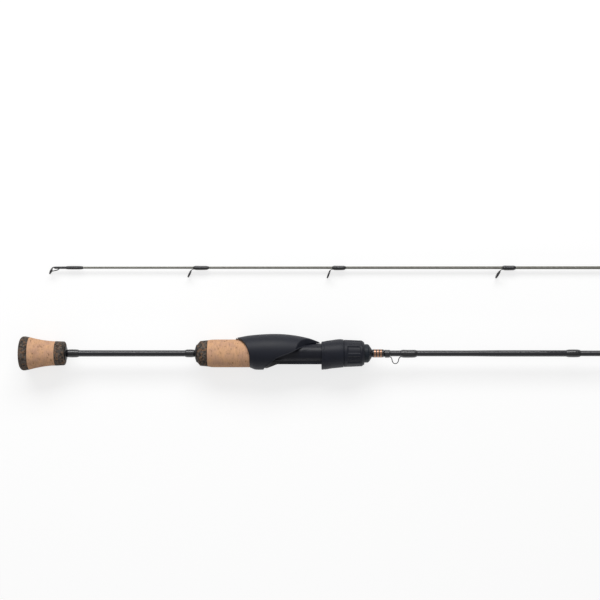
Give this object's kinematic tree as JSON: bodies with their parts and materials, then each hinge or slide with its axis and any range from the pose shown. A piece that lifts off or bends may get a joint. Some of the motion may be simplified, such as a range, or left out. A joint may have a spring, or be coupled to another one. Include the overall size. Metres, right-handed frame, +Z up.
{
  "type": "ice fishing rod",
  "caption": "Ice fishing rod taken down into handle and tip sections: split cork grip, palm-swell reel seat with sliding hood and lock nut, hook keeper, and a slim tip with line guides.",
  "frame": {"origin": "centre of the flat that the reel's foot sits on", "axes": "+X from the butt to the front, along both sections; +Y the palm side, with the reel foot and guides towards -Y; +Z up from the surface that the rod lies on"},
  "size_m": [0.563, 0.0876, 0.0272],
  "materials": {
    "cork": "natural cork, matt, with small pits",
    "composite_cork": "rubberised composite cork, speckled, matt",
    "blank": "carbon blank under clear gloss",
    "tip_blank": "slim grey-olive blank, satin",
    "thread": "black thread under gloss epoxy",
    "check": "matt black",
    "seat": "soft-touch charcoal",
    "barrel": "smooth dark moulding",
    "liner": "dark insert",
    "front_cap": "blue-black rubber, satin",
    "copper_band": "copper-coloured metallic thread",
    "wire": "dark polished wire",
    "guide_frame": "gloss black",
    "ring": "polished black ceramic",
    "arbor": "grey foamed bush, hidden"
  },
  "bodies": {
    "handle_section": {"butt_cork": "cork", "grip_cork": "cork", "butt_cap": "composite_cork", "butt_collar": "composite_cork", "grip_collar": "composite_cork", "handle_blank": "blank", "front_blank": "blank", "splice_spigot": "blank", "butt_wrap": "thread", "rear_trim_wrap": "thread", "trim_wrap": "thread", "keeper_rear_wrap": "thread", "keeper_front_wrap": "thread", "splice_wrap": "thread", "ferrule_wrap": "thread", "stripper_wrap": "thread", "butt_check": "check", "grip_check": "check", "seat_shell": "seat", "seat_barrel": "barrel", "fixed_hood_liner": "liner", "seat_front_cap": "front_cap", "trim_band_1": "copper_band", "trim_band_2": "copper_band", "trim_band_3": "copper_band", "ferrule_band_1": "copper_band", "ferrule_band_2": "copper_band", "hook_keeper": "wire", "stripper_frame": "guide_frame", "stripper_ring": "ring", "rear_arbor": "arbor", "middle_arbor": "arbor", "front_arbor": "arbor"},
    "sliding_hood": {"sliding_hood": "seat", "sliding_hood_liner": "liner"},
    "lock_nut": {"lock_nut": "seat"},
    "tip_section": {"tip_blank": "tip_blank", "ferrule_spigot": "blank", "ferrule_stop_wrap": "thread", "tip_top_frame": "guide_frame", "tip_top_ring": "ring", "tip_top_wrap": "thread", "guide_1_frame": "guide_frame", "guide_1_ring": "ring", "guide_1_wrap": "thread", "guide_2_frame": "guide_frame", "guide_2_ring": "ring", "guide_2_wrap": "thread", "guide_3_frame": "guide_frame", "guide_3_ring": "ring", "guide_3_wrap": "thread"}
  },
  "joints": [
    {"name": "hood_slide", "type": "slide", "parent": "handle_section", "child": "sliding_hood", "axis": [-1, 0, 0], "range_m": [0, 0.01]},
    {"name": "nut_turn", "type": "hinge", "parent": "sliding_hood", "child": "lock_nut", "pos_m": [0.047, 0.0085, 0], "axis": [-1, 0, 0], "range_deg": [0, 1800]},
    {"name": "tip_apart", "type": "slide", "parent": "handle_section", "child": "tip_section", "axis": [0, 1, 0], "range_m": [0, 0.1]}
  ],
  "couplings": [
    {"joint": "hood_slide", "follows": "nut_turn", "m_per_rad": 0.0003183}
  ]
}
